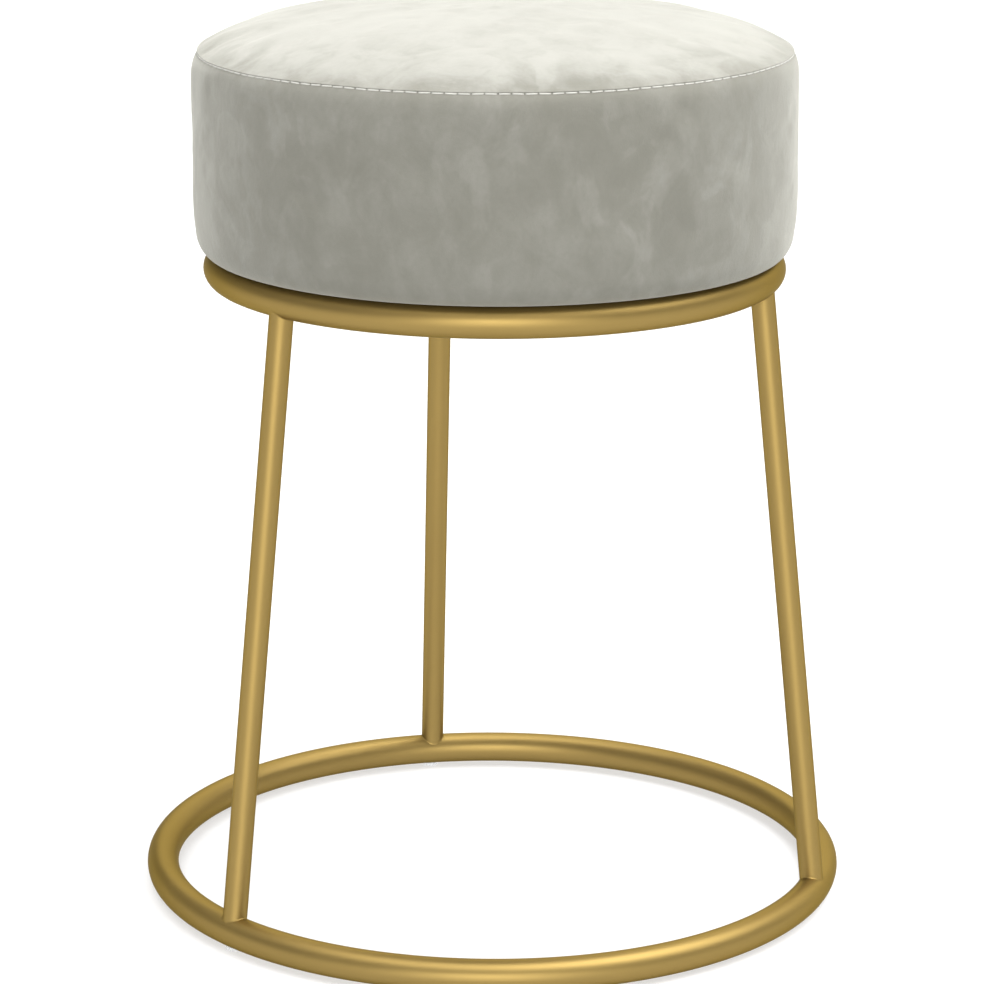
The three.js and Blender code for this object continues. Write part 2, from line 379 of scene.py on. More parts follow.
def dust_cloth_finish():
    """Black non-woven cloth with its fine grid of bonding dimples."""
    finish = Finish("dust_cloth")
    dimple = finish.cells(620, 0.0, (1, 1, 0)).eased(0.2, 0.42)
    across = finish.noise(700, 3, 0.6, 0.5, (1, 0.15, 1))
    along = finish.noise(700, 3, 0.6, 0.5, (0.15, 1, 1))
    fibre = across.at_least(along)
    return finish.surface(
        base_color=finish.mix(fibre * dimple, (0.006, 0.006, 0.007, 1), (0.022, 0.022, 0.024, 1)),
        roughness=0.85 - dimple * 0.15,
        sheen_weight=0.15,
        normal=finish.bump(fibre * 0.5 + dimple * 0.5, 0.5, 0.3 * MM),
    )


# Mesh building


def quad_row(low, high, columns):
    """Quads between two rows of points, given the number of each row's first point."""
    after = [(column + 1) % columns for column in range(columns)]
    return [(low + i, low + j, high + j, high + i) for i, j in enumerate(after)]


def grid_faces(rows, columns, loop_rows=False):
    """Quads between rows of points that each run once round."""
    faces = []
    for row in range(rows if loop_rows else rows - 1):
        faces += quad_row(row * columns, (row + 1) % rows * columns, columns)
    return faces


def capped_faces(rows, columns, start_point=None, end_point=None):
    """Quads between the rows, closed by fans to the points with these numbers."""
    faces = grid_faces(rows, columns)
    last = (rows - 1) * columns
    for column in range(columns):
        after = (column + 1) % columns
        if start_point is not None:
            faces.append((start_point, after, column))
        if end_point is not None:
            faces.append((end_point, last + column, last + after))
    return faces


def rod_faces(rows, columns, first):
    """Faces of a rod with flat ends, whose points start at this number."""
    faces = grid_faces(rows, columns)
    faces.append(tuple(reversed(range(columns))))
    faces.append(tuple(range((rows - 1) * columns, rows * columns)))
    return [tuple(first + number for number in face) for face in faces]


def linked(made):
    bpy.context.scene.collection.objects.link(made)
    return made


def new_form(name, points, faces, finish=None):
    mesh = bpy.data.meshes.new(name)
    mesh.from_pydata(np.asarray(points).reshape(-1, 3).tolist(), [], faces)
    mesh.shade_smooth()
    if finish:
        mesh.materials.append(finish)
    return linked(bpy.data.objects.new(name, mesh))


def add_piece(name, points, faces, finish, stands_for=()):
    piece = new_form(name, points, faces, finish)
    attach(piece, BODY)
    if stands_for:
        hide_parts(*stands_for)
    return piece


def turned(points, radians):
    """The points turned about +Z."""
    cos, sin = math.cos(radians), math.sin(radians)
    x, y, z = np.moveaxis(np.asarray(points), -1, 0)
    return np.stack([x * cos - y * sin, x * sin + y * cos, z], -1)


def around(outline, angles, shift=0.0):
    """Rows of points: each (radius, height) of the outline, at every angle."""
    outline = np.asarray(outline)[:, None, :]
    angles = np.asarray(angles)[None, :]
    radius, height = outline[..., 0], outline[..., 1]
    x, y = radius * np.cos(angles) + shift, radius * np.sin(angles)
    return np.stack([x, y, np.broadcast_to(height, x.shape)], -1)


def polar(radius, angle):
    return radius * math.cos(angle), radius * math.sin(angle)


def even_angles(count):
    return np.arange(count) / count * math.tau


def level(start, end, height, steps):
    """Points of an outline from one radius to another at one height."""
    return np.stack([np.linspace(start, end, steps), np.full(steps, height)], -1)


def upright(radius, start, end, steps):
    """Points of an outline from one height to another at one radius."""
    return np.stack([np.full(steps, radius), np.linspace(start, end, steps)], -1)


def set_finish(node, material):
    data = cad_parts[node].data
    data.materials.clear()
    data.materials.append(material)


# Rings and legs


def off_ring(points, radius, height):
    """Distance of the points from the surface of a ring's tube."""
    flat = np.hypot(points[..., 0], points[..., 1]) - radius
    return np.hypot(flat, points[..., 2] - height) - RING_TUBE


def make_ring(name, node, radius, height, finish):
    rows, columns = 36, 288
    tube = even_angles(rows)
    outline = np.stack([radius + RING_TUBE * np.cos(tube), height + RING_TUBE * np.sin(tube)], -1)
    points = around(outline, even_angles(columns))
    add_piece(name, points, grid_faces(rows, columns, True), finish, [node])


def leg_end(start, axis, outward, look):
    """Rows of points from just inside the ring's tube, up a weld fillet, to the plain leg."""
    columns = len(outward)
    height = start.z
    start, axis = np.array(start), np.array(axis)
    ring_radius = float(np.hypot(start[0], start[1]))

    def along(spread, gap):
        """Points at this spread from the leg's axis, at this gap from the ring's tube."""
        near, far = np.zeros(columns), np.full(columns, 5 * RING_TUBE)
        for _ in range(40):
            middle = (near + far) / 2
            points = start + axis * middle[:, None] + outward * spread[:, None]
            inside = off_ring(points, ring_radius, height) < gap
            near, far = np.where(inside, middle, near), np.where(inside, far, middle)
        return points

    plain = along(np.full(columns, look.leg_radius), np.zeros(columns))
    flat = np.hypot(plain[:, 0], plain[:, 1])
    off_circle = (flat - ring_radius) / flat
    to_ring = np.stack([off_circle * plain[:, 0], off_circle * plain[:, 1], plain[:, 2] - height], -1)
    facing = np.clip((to_ring * outward).sum(-1) / RING_TUBE, 0, 1)
    fillet = look.weld_fillet * (1 - 0.8 * facing)
    rows = [along(look.leg_radius + fillet, np.full(columns, -0.5 * MM))]
    for share in np.linspace(0, 1, 9):
        gap = fillet * share
        lift = fillet - np.sqrt(np.maximum(fillet**2 - (fillet - gap) ** 2, 0))
        rows.append(along(look.leg_radius + lift, gap))
    return np.array(rows)


def on_ring(radius, height, stray):
    """A point on a ring's circle, this many degrees out of line."""
    return Vector((*polar(radius, math.radians(stray)), height))


def make_leg(place, finish, look):
    columns = 48
    foot_stray, head_stray = LEG_STRAYS[place]
    foot = on_ring(FLOOR_RING, FLOOR_RING_HEIGHT, foot_stray)
    head = on_ring(SEAT_RING, SEAT_RING_HEIGHT, head_stray)
    axis = (head - foot).normalized()
    inward = Vector((0, 1, 0)).cross(axis).normalized()
    turns = even_angles(columns)[:, None]
    outward = np.cos(turns) * np.array(inward) + np.sin(turns) * np.array(axis.cross(inward))
    bottom = leg_end(foot, axis, outward, look)
    top = leg_end(head, -axis, outward, look)[::-1]
    shares = np.linspace(0, 1, 26)[1:-1, None, None]
    rows = np.concatenate([bottom, bottom[-1] * (1 - shares) + top[0] * shares, top])
    points = np.concatenate([rows.reshape(-1, 3), [rows[0].mean(0), rows[-1].mean(0)]])
    count = len(rows) * columns
    faces = capped_faces(len(rows), columns, count, count + 1)
    placed = turned(points, math.radians(LEG_ANGLES[place]))
    add_piece(f"leg_tube_{place}", placed, faces, finish, [f"leg_{place}"])


# Cushion


def corner_curve(inset, steps):
    turn = np.linspace(0, math.pi / 2, steps)
    radius = FOOT_RADIUS - CORNER_WIDTH + (CORNER_WIDTH - inset) * np.sin(turn)
    return np.stack([radius, SEAT_BOTTOM + CORNER_RISE - (CORNER_RISE - inset) * np.cos(turn)], -1)


def side_curve(inset, heights):
    heights = np.asarray(heights)
    bottom = SEAT_BOTTOM + CORNER_RISE
    off_middle = np.clip(2 * (heights - bottom) / (SEAM_HEIGHT - bottom) - 1, -1, 1)
    drawn = SEAM_DRAW * np.maximum(off_middle, 0) ** SEAM_POWER
    drawn = drawn + FOOT_DRAW * np.maximum(-off_middle, 0) ** FOOT_POWER
    bulge = SIDE_BULGE * (1 - off_middle**2)
    return np.stack([SIDE_RADIUS + bulge - inset - drawn, heights], -1)


def crown_curve(radius_inset, rise_inset, turn):
    """A shallow dome that drops faster towards the sewn edge, from turn 0 at the edge to the middle."""
    share = np.cos(turn)
    fall = (1 - CROWN_EDGE_SHARE) * share**2 + CROWN_EDGE_SHARE * share**CROWN_EDGE_POWER
    rise = (CROWN_TOP - CROWN_BASE - rise_inset) * (1 - fall)
    return np.stack([(CROWN_RADIUS - radius_inset) * share, CROWN_BASE + rise], -1)


def cover_profile():
    """The cover's outer line from the flange's edge under the seat to the crown's middle."""
    flange = level(FLANGE_INNER, FLANGE_OUTER + 1 * MM, SEAT_BOTTOM, 12)
    side = side_curve(0, np.linspace(SEAT_BOTTOM + CORNER_RISE, SEAM_HEIGHT, 60)[1:])
    crown = crown_curve(0, 0, np.linspace(0, math.pi / 2, 240)[1:])
    return np.concatenate([flange, corner_curve(0, 24), side, crown])


def lengths_along(line):
    steps = np.hypot(*np.diff(line, axis=0).T)
    return np.concatenate([[0], np.cumsum(steps)])


def at_lengths(line, lengths, wanted):
    return np.stack([np.interp(wanted, lengths, line[:, axis]) for axis in (0, 1)], -1)


def right_of(steps):
    """Unit normals that point to the right of these steps along an outline."""
    steps = steps / np.maximum(np.hypot(*steps.T), 1e-9)[:, None]
    return np.stack([steps[:, 1], -steps[:, 0]], -1)


class CoverRelief:
    """How far the filled cover stands off its plain profile, over a grid of rows and columns."""

    rows = 44
    columns = 150
    reach = 0.985  # share of the profile that the rows cover, short of the crown's middle
    start_inset = 1.2 * MM  # how far inside its profile the cloth starts
    frames = 20
    flange = 30 * MM  # length of the flange under the board, which is held flat
    cloth_flange = 26 * MM

    def __init__(self, look):
        self.look = look
        self.line = cover_profile()
        self.lengths = lengths_along(self.line)
        seam_length = self.length_of(SEAM_RADIUS, SEAM_HEIGHT)
        self.stops = np.linspace(0, self.lengths[-1] * self.reach, self.rows)
        self.seam_row = int(np.argmin(np.abs(self.stops - seam_length)))
        self.stops[self.seam_row] = seam_length
        self.from_seam = np.abs(self.stops - seam_length)
        self.profile = at_lengths(self.line, self.lengths, self.stops)
        ahead = at_lengths(self.line, self.lengths, self.stops + 0.5 * MM)
        behind = at_lengths(self.line, self.lengths, self.stops - 0.5 * MM)
        self.normals = right_of(ahead - behind)
        self.offsets = self.unevenness()
        self.offsets = self.offsets + self.filled()

    def length_of(self, radius, height):
        away = np.hypot(self.line[:, 0] - radius, self.line[:, 1] - height)
        return float(self.lengths[np.argmin(away)])

    def unevenness(self):
        """Slow seeded waves, as hand-glued foam and hand-pulled cloth have."""
        free = np.minimum(self.from_seam / (14 * MM), 1)
        free *= np.clip((self.stops - self.flange) / (16 * MM), 0, 1)
        made = np.zeros((self.rows, self.columns))
        for row, (radius, height) in enumerate(self.profile):
            for column, angle in enumerate(even_angles(self.columns)):
                place = Vector((*polar(radius, angle), height * 1.2))
                slow = noise.noise(place * 22 + Vector((3.1, 0, 0)))
                quick = noise.noise(place * 52 + Vector((0, 7.7, 0)))
                made[row, column] = slow * 0.45 + quick * 0.22
        return made * MM * free[:, None] * self.look.unevenness

    def filled(self):
        """Fills the cover as cloth with the seam and the stapled flange held."""
        free = np.clip(self.from_seam / (12 * MM), 0, 1)
        free *= np.clip((self.stops - self.cloth_flange) / (14 * MM), 0, 1)
        start = self.profile - self.normals * (self.start_inset * free)[:, None]
        grid = around(start, even_angles(self.columns))
        points = np.concatenate([grid.reshape(-1, 3), [grid[-1].mean(0)]])
        faces = capped_faces(self.rows, self.columns, None, len(points) - 1)
        form = new_form("filling", points, faces)
        scene = bpy.context.scene
        self.add_groups(form)
        self.add_cloth(form)
        for step in range(1, self.frames + 1):
            scene.frame_set(step)
        shown = form.evaluated_get(bpy.context.evaluated_depsgraph_get())
        flat = np.zeros(len(points) * 3, np.float32)
        shown.data.vertices.foreach_get("co", flat)
        scene.frame_set(1)
        bpy.data.meshes.remove(form.data)
        moved = flat.reshape(-1, 3)[:-1].reshape(self.rows, self.columns, 3).astype(float)
        radius = np.hypot(moved[..., 0], moved[..., 1])
        off = (radius - self.profile[:, None, 0]) * self.normals[:, None, 0]
        off = off + (moved[..., 2] - self.profile[:, None, 1]) * self.normals[:, None, 1]
        swelling = off.mean(1, keepdims=True)
        cap = self.look.fill_cap
        return np.clip(off - swelling * (1 - self.look.fill_share), -cap, cap)

    def add_groups(self, form):
        """The points that are held, and a share of slack in the cloth that varies slowly."""
        held = form.vertex_groups.new(name="held")
        slack = form.vertex_groups.new(name="slack")
        draws = random.Random(41)
        phases = [draws.uniform(0, math.tau) for _ in range(12)]
        for row in range(self.rows):
            first = row * self.columns
            if row == self.seam_row or self.stops[row] < self.flange:
                held.add(list(range(first, first + self.columns)), 1.0, "REPLACE")
            for column in range(self.columns):
                angle = column / self.columns * math.tau
                wave = sum(
                    math.sin(angle * (5 + 4 * k) + row * 0.35 * (k % 3 - 1) + phases[k])
                    for k in range(6)
                )
                slack.add([first + column], min(max(0.5 + wave / 8, 0), 1), "REPLACE")

    def add_cloth(self, form):
        cloth = form.modifiers.new("cloth", "CLOTH")
        settings = {
            "quality": 6,
            "mass": 0.25,
            "tension_stiffness": 20,
            "compression_stiffness": 20,
            "shear_stiffness": 8,
            "bending_stiffness": 1.5,
            "air_damping": 4,
            "use_pressure": True,
            "uniform_pressure_force": self.look.fill_pressure,
            "vertex_group_mass": "held",
            "vertex_group_shrink": "slack",
            "shrink_min": -0.005,
            "shrink_max": 0.004,
        }
        for name, value in settings.items():
            setattr(cloth.settings, name, value)
        cloth.settings.effector_weights.gravity = 0
        cloth.point_cache.frame_start = 1
        cloth.point_cache.frame_end = self.frames + 2

    def at(self, lengths, angles):
        """The offset at every pair of a length along the profile and an angle."""
        rows = np.interp(lengths, self.stops, np.arange(self.rows))
        columns = np.asarray(angles) / math.tau * self.columns
        row_floor, row_share = np.floor(rows).astype(int), rows - np.floor(rows)
        column_floor, column_share = np.floor(columns).astype(int), columns - np.floor(columns)
        row_weights, column_weights = smooth_weights(row_share), smooth_weights(column_share)
        total = np.zeros((len(rows), len(columns)))
        for i in range(4):
            row = np.clip(row_floor + i - 1, 0, self.rows - 1)
            for j in range(4):
                column = (column_floor + j - 1) % self.columns
                weight = row_weights[i][:, None] * column_weights[j][None, :]
                total += self.offsets[np.ix_(row, column)] * weight
        return total


def smooth_weights(share):
    """Weights of four neighbours for a smooth curve through them."""
    return (
        share * (-0.5 + share * (1 - 0.5 * share)),
        1 + share**2 * (-2.5 + 1.5 * share),
        share * (0.5 + share * (2 - 1.5 * share)),
        share**2 * (-0.5 + 0.5 * share),
    )


def seam_wander(angles):
    """How far the sewn edge wanders up and down round the seat, with a dip at both sides."""
    turns = np.asarray(angles)
    lean = SEAM_LEAN * np.cos(turns - SEAM_LEAN_ANGLE) - SEAM_SIDE_DIP * np.cos(turns) ** 6
    waves = 0.5 * np.sin(turns * 5 + 0.7) + 0.35 * np.sin(turns * 11 + 2.1)
    return lean + (waves + 0.25 * np.sin(turns * 23 + 4.4)) * SEAM_WAVES


def pucker(angles, look):
    """1 at each needle hole and 0 between, round the sewn edge."""
    phase = np.asarray(angles) / math.tau * look.stitch_count
    away = np.abs(phase - np.round(phase))
    return np.exp(-((away / PUCKER_WIDTH) ** 2))


def cover_angles(look):
    """Angles that close up at the needle holes and at the back seam."""
    pitch = math.tau / look.stitch_count
    shares = (0, 0.09, 0.3, 0.5, 0.7, 0.91)
    angles = [(hole + share) * pitch for hole in range(look.stitch_count) for share in shares]
    for offset in (-2.4, -1.8, -1.2, -0.8, -0.4, 0, 0.4, 0.8, 1.2, 1.8, 2.4):
        angles.append((BACK_SEAM + offset * MM / SEAM_RADIUS) % math.tau)
    return np.array(sorted(set(np.round(angles, 6))))


def back_seam(angles):
    """Depth of the line where the band's two ends are sewn together at the back."""
    away = (np.asarray(angles) - BACK_SEAM) * SEAM_RADIUS / MM
    return 0.9 * np.exp(-((away / 0.55) ** 2)) - 0.3 * np.exp(-((np.abs(away) - 1.7) ** 2) / 0.8)


def off_profile(outline, normals, offset, angles, rise=0):
    """The outline swept round, each point pushed out along its normal and raised."""
    radius = outline[:, :1] + offset * normals[:, :1]
    height = outline[:, 1:] + offset * normals[:, 1:] + rise
    return radius, np.stack([radius * np.cos(angles), radius * np.sin(angles), height], -1)


def dressed_rows(outline, normals, sewn, relief, angles, look):
    """Points of one panel: its outline swept round, filled, puckered and wandering."""
    lengths = np.array([relief.length_of(*point) for point in outline])
    offset = relief.at(lengths, angles) - sewn[:, None] * pucker(angles, look) * look.pucker_depth
    away = np.hypot(outline[:, 0] - SEAM_RADIUS, outline[:, 1] - SEAM_HEIGHT)
    near = np.exp(-((away / SEAM_WANDER_REACH) ** 2))
    return off_profile(outline, normals, offset, angles, near[:, None] * seam_wander(angles))


def line_normals(outline):
    """Normals that point to the right of the way the outline runs."""
    ahead, behind = np.roll(outline, -1, 0), np.roll(outline, 1, 0)
    ahead[-1], behind[0] = outline[-1], outline[0]
    return right_of(ahead - behind)


def arc(center, radius, start, end, steps):
    turn = np.radians(np.linspace(start, end, steps))
    return np.asarray(center) + radius * np.stack([np.cos(turn), np.sin(turn)], -1)


def make_side_band(relief, finish, look):
    angles = cover_angles(look)
    roll = COVER_THICKNESS / 2
    roll_center = (SEAM_RADIUS - roll, CREASE_HEIGHT - roll)
    coarse = np.linspace(SEAT_BOTTOM + CORNER_RISE, SEAM_HEIGHT - 10 * MM, 34)[1:]
    fine = np.linspace(SEAM_HEIGHT - 10 * MM, roll_center[1], 16)[1:]
    heights = np.concatenate([coarse, fine])
    outside = [
        level(FLANGE_INNER, FLANGE_OUTER, SEAT_BOTTOM, 8),
        corner_curve(0, 12),
        side_curve(0, heights),
        arc(roll_center, roll, 0, 180, 9)[1:-1],
    ]
    inside = [
        level(FLANGE_INNER, FLANGE_OUTER, SEAT_BOTTOM + COVER_THICKNESS, 4),
        corner_curve(COVER_THICKNESS, 6),
        side_curve(COVER_THICKNESS, heights[::3]),
    ]
    outside, inside = np.concatenate(outside), np.concatenate(inside)[::-1]
    outline = np.concatenate([outside, inside])
    normals = np.concatenate([line_normals(outside), -line_normals(inside)])
    depth = (SEAM_HEIGHT - outline[:, 1]) / BAND_PUCKER_REACH
    sewn = BAND_PUCKER_SHARE * np.exp(-(depth**2))
    radius, points = dressed_rows(outline, normals, sewn, relief, angles, look)
    side = np.clip((outline[:, 1] - SEAT_BOTTOM - 2 * MM) / (6 * MM), 0, 1)
    side = side * np.clip((CREASE_HEIGHT + 0.3 * MM - outline[:, 1]) / (0.6 * MM), 0, 1)
    pressed = side[:, None] * back_seam(angles) * MM
    points[..., :2] *= (1 - pressed / radius)[..., None]
    faces = grid_faces(*points.shape[:2], True)
    piece = add_piece("cover_band_velvet", points, faces, finish, ["cover_side_band"])


def make_top_panel(relief, finish, look):
    """The crowned panel: its outer side with a lip over the seam, then its inner side and hem."""
    angles = cover_angles(look)
    hem_outer = SEAM_RADIUS - COVER_THICKNESS - TOUCH_GAP
    hem_inner = hem_outer - COVER_THICKNESS
    hem = upright(hem_outer, HEM_BOTTOM, CREASE_HEIGHT - 0.9 * MM, 6)
    lip = [(-1.3, -0.15), (-0.8, -0.14), (-0.2, -0.12), (0.25, -0.1), (0.48, -0.03), (0.56, 0.12)]
    lip = np.array([(SEAM_RADIUS + out * MM, CREASE_HEIGHT + up * MM) for out, up in lip])
    last_turn = math.pi / 2 - 0.02
    turn = np.concatenate([np.linspace(0.05, 0.4, 16), np.linspace(0.4, last_turn, 46)[1:]])
    outside = np.concatenate([hem, lip, crown_curve(0, 0, turn)])
    inner_turn = np.linspace(last_turn, 0.02, 26)
    inner_crown = crown_curve(COVER_THICKNESS * 2 + TOUCH_GAP, COVER_THICKNESS, inner_turn)
    inner_hem = upright(hem_inner, SEAM_HEIGHT - 0.5 * MM, HEM_BOTTOM, 4)
    inside = np.concatenate([inner_crown, inner_hem])
    outline = np.concatenate([outside, inside])
    normals = np.concatenate([line_normals(outside), -line_normals(inside)])
    normals[: len(hem)] = 0
    normals[-len(inner_hem) :] = 0
    from_lip = np.concatenate([lengths_along(outside[len(hem) :]), np.ones(len(inside))])
    sewn = np.concatenate([np.zeros(len(hem)), np.exp(-((from_lip / PANEL_PUCKER_REACH) ** 2))])
    _, points = dressed_rows(outline, normals, sewn, relief, angles, look)
    rows, columns = points.shape[:2]
    split, count = len(outside), rows * columns
    middles = [(0, 0, points[row, :, 2].mean() + 0.02 * MM) for row in (split - 1, split)]
    faces = capped_faces(split, columns, None, count)
    inner = split * columns
    faces += [(count + 1, inner + (i + 1) % columns, inner + i) for i in range(columns)]
    for row in range(split, rows):
        faces += quad_row(row * columns, (row + 1) % rows * columns, columns)
    points = np.concatenate([points.reshape(-1, 3), middles])
    piece = add_piece("cover_top_velvet", points, faces, finish, ["cover_top_panel"])


def make_edge_stitches(relief, finish, look):
    """One twisted thread capsule a stitch, with its ends dipping into the band."""
    pitch = math.tau / look.stitch_count
    sides, sections = 12, 17
    line_height = CREASE_HEIGHT - STITCH_DROP
    surface_radius = float(side_curve(0, [line_height])[0, 0])
    length = np.array([relief.length_of(surface_radius, line_height)])
    ring, upward = even_angles(sides), np.array((0, 0, 1.0))
    shares = np.linspace(-1, 1, sections)
    lift = STITCH_STAND_OFF - STITCH_END_DIP * np.abs(shares) ** 6
    thick = look.thread_radius * np.sqrt(np.maximum(1 - np.abs(shares) ** 14, 0.12))
    points, faces = [], []
    draws = random.Random(7)
    for hole in even_angles(look.stitch_count):
        tilt = draws.uniform(-0.10, 0.10) * MM
        reach = 0.5 * draws.uniform(0.92, 0.98)
        angles = hole + pitch / 2 + shares * reach * pitch
        radius = surface_radius + relief.at(length, angles % math.tau)[0] + lift
        height = line_height + tilt * shares + seam_wander(angles)
        faces += rod_faces(sections, sides, len(points) * sides)
        for index, angle in enumerate(angles):
            outward = np.array([math.cos(angle), math.sin(angle), 0.0])
            centre = radius[index] * outward + np.array((0, 0, height[index]))
            twist = index / sections * math.tau * 1.7
            wide = thick[index] * (1 + 0.09 * np.cos(3 * (ring - twist)))
            spokes = np.cos(ring)[:, None] * outward + np.sin(ring)[:, None] * upward
            points.append(centre + spokes * wide[:, None])
    add_piece("edge_stitches", np.concatenate(points), faces, finish)


def make_foam(relief, finish):
    """The foam pad, wrapped down round the board and filling the cover."""
    inset = COVER_THICKNESS + TOUCH_GAP
    hem_inside = SEAM_RADIUS - COVER_THICKNESS * 2 - TOUCH_GAP
    under_hem = HEM_BOTTOM - TOUCH_GAP
    board_side = BOARD_RADIUS + TOUCH_GAP
    socket = np.array([(board_side, BOARD_TOP + TOUCH_GAP), (board_side, BOARD_BOTTOM + 0.3 * MM)])
    side = side_curve(inset, np.linspace(SEAT_BOTTOM + CORNER_RISE, under_hem, 30))
    ledge = [(hem_inside - TOUCH_GAP, under_hem)]
    crown = crown_curve(SEAM_RADIUS - hem_inside + TOUCH_GAP, inset, np.linspace(0.02, 1.55, 30))
    outer = np.concatenate([corner_curve(inset, 8)[1:], side[1:], ledge, crown])
    outline = np.concatenate([socket, outer])
    normals = np.concatenate([np.zeros((2, 2)), line_normals(outer)])
    angles = even_angles(144)
    lengths = np.array([relief.length_of(*point) for point in outline])
    offset = relief.at(lengths, angles) - 0.1 * MM
    _, points = off_profile(outline, normals, offset, angles)
    ends = [(0, 0, BOARD_TOP + TOUCH_GAP), (0, 0, points[-1, :, 2].mean())]
    points = points.reshape(-1, 3)
    for point in points[len(socket) * len(angles) :]:
        point *= 1 - max(noise.noise(Vector(point) * 90), 0) * 0.0004
    count = len(points)
    faces = capped_faces(len(outline), len(angles), count, count + 1)
    piece = add_piece("foam_pad", np.concatenate([points, ends]), faces, finish, ["seat_foam"])


# Under the seat


def make_bolt(place, finish):
    """A button head bolt with a hexagon socket and a cut thread."""
    columns = 36
    turns = even_angles(columns)
    hexagon = math.cos(math.pi / 6) / np.cos(np.mod(turns, math.pi / 3) - math.pi / 6)
    socket, socket_top = 2.3 * MM * hexagon, BOLT_BOTTOM + 2 * MM
    rows = [(socket, socket_top), (socket, BOLT_BOTTOM + 0.25 * MM), (socket + 0.2 * MM, BOLT_BOTTOM)]
    head = [(3.0, 0.0), (3.6, 0.12), (4.3, 0.55), (4.9, 1.25), (5.2, 1.95)]
    head += [(5.25, 2.5), (5.25, 3.1), (5.1, 3.3), (3.0, 3.3)]
    rows += [(radius * MM, BOLT_BOTTOM + rise * MM) for radius, rise in head]
    thread_radius, thread_start = 3.0 * MM, WASHER_TOP + 3 * MM
    rows.append((thread_radius, thread_start))
    pitch, depth, step = 1.0 * MM, 0.32 * MM, 0.25 * MM
    for height in np.arange(thread_start + step, BOLT_TIP - 0.6 * MM, step):
        phase = np.mod(height / pitch - turns / math.tau, 1)
        rows.append((thread_radius - depth * np.abs(2 * phase - 1), height))
    rows.append((2.5 * MM, BOLT_TIP))
    points = []
    for radius, height in rows:
        x, y = radius * np.cos(turns) + BOLT_CIRCLE, radius * np.sin(turns)
        points.append(np.stack([x, y, np.full(columns, height)], -1))
    count = len(points) * columns
    points += [[(BOLT_CIRCLE, 0, socket_top), (BOLT_CIRCLE, 0, BOLT_TIP)]]
    placed = turned(np.concatenate(points), math.radians(FIXING_ANGLES[place]))
    faces = capped_faces(len(rows), columns, count, count + 1)
    name, node = f"button_bolt_{place}", f"seat_bolt_{place}"
    smooth_by_angle(add_piece(name, placed, faces, finish, [node]), 40)


def make_washer(place, finish):
    columns = 48
    hole, rim, edge = 3.3 * MM, 7 * MM, 0.15 * MM
    lower = [(hole, edge), (hole + edge, 0), (rim - edge, 0), (rim, edge)]
    outline = [(radius, WASHER_BOTTOM + inset) for radius, inset in lower]
    outline += [(radius, WASHER_TOP - inset) for radius, inset in reversed(lower)]
    points = around(outline, even_angles(columns), BOLT_CIRCLE)
    placed = turned(points, math.radians(FIXING_ANGLES[place]))
    faces = grid_faces(len(outline), columns, True)
    name, node = f"flat_washer_{place}", f"seat_washer_{place}"
    smooth_by_angle(add_piece(name, placed, faces, finish, [node]), 30)


def smooth_by_angle(piece, degrees):
    with bpy.context.temp_override(selected_editable_objects=[piece], active_object=piece, object=piece):
        bpy.ops.object.shade_smooth_by_angle(angle=math.radians(degrees))


def make_dust_cover(finish):
    """A stapled disc of cloth with a hole for each bolt, rippled a little between its staples."""
    rim, hole_rim = 180, 20
    hole_radius = 3.5 * MM
    points = [polar(DUST_RADIUS, angle) for angle in even_angles(rim)]
    edges = [(i, (i + 1) % rim) for i in range(rim)]
    holes = []
    for angle in FIXING_ANGLES.values():
        centre = Vector((BOLT_CIRCLE, 0)) @ Matrix.Rotation(-math.radians(angle), 2)
        holes.append(centre)
        first = len(points)
        for turn in even_angles(hole_rim):
            x, y = polar(hole_radius, turn)
            points.append((centre.x + x, centre.y + y))
        edges += [(first + i, first + (i + 1) % hole_rim) for i in range(hole_rim)]

    def clear_of_holes(spot, gap):
        return all((spot - hole).length > gap for hole in holes)

    for ring in range(1, 26):
        radius = DUST_RADIUS * ring / 26
        for angle in even_angles(6 * ring) + ring * 0.3:
            spot = Vector(polar(radius, angle))
            if clear_of_holes(spot, 5 * MM):
                points.append(tuple(spot))
    flat, _, faces, *_ = delaunay_2d_cdt([Vector(p) for p in points], edges, [], 0, 1e-7)
    kept = []
    for face in faces:
        centre = sum((flat[i] for i in face), Vector((0, 0))) / 3
        if clear_of_holes(centre, 3.4 * MM):
            kept.append(face)
    thickness = 0.3 * MM
    lower = []
    for point in flat:
        reach = point.length / DUST_RADIUS
        ripple = noise.noise(Vector((point.x, point.y, 0)) * 30) * 0.12 * MM
        sag = -0.9 * MM * max(0, 1 - (reach / 0.7) ** 2) ** 2
        height = DUST_TOP - thickness + ripple * min(1, (1 - reach) * 6) + sag
        lower.append((point.x, point.y, height))
    upper = [(x, y, z + thickness) for x, y, z in lower]
    size = len(lower)
    sides = quad_row(0, size, rim)
    for index in range(len(holes)):
        first = rim + index * hole_rim
        for i in range(hole_rim):
            after = first + (i + 1) % hole_rim
            sides.append((after, first + i, size + first + i, size + after))
    both = [tuple(reversed(face)) for face in kept]
    both += [tuple(size + i for i in face) for face in kept] + sides
    name = "dust_cover_cloth"
    piece = add_piece(name, lower + upper, both, finish, ["dust_cover"])


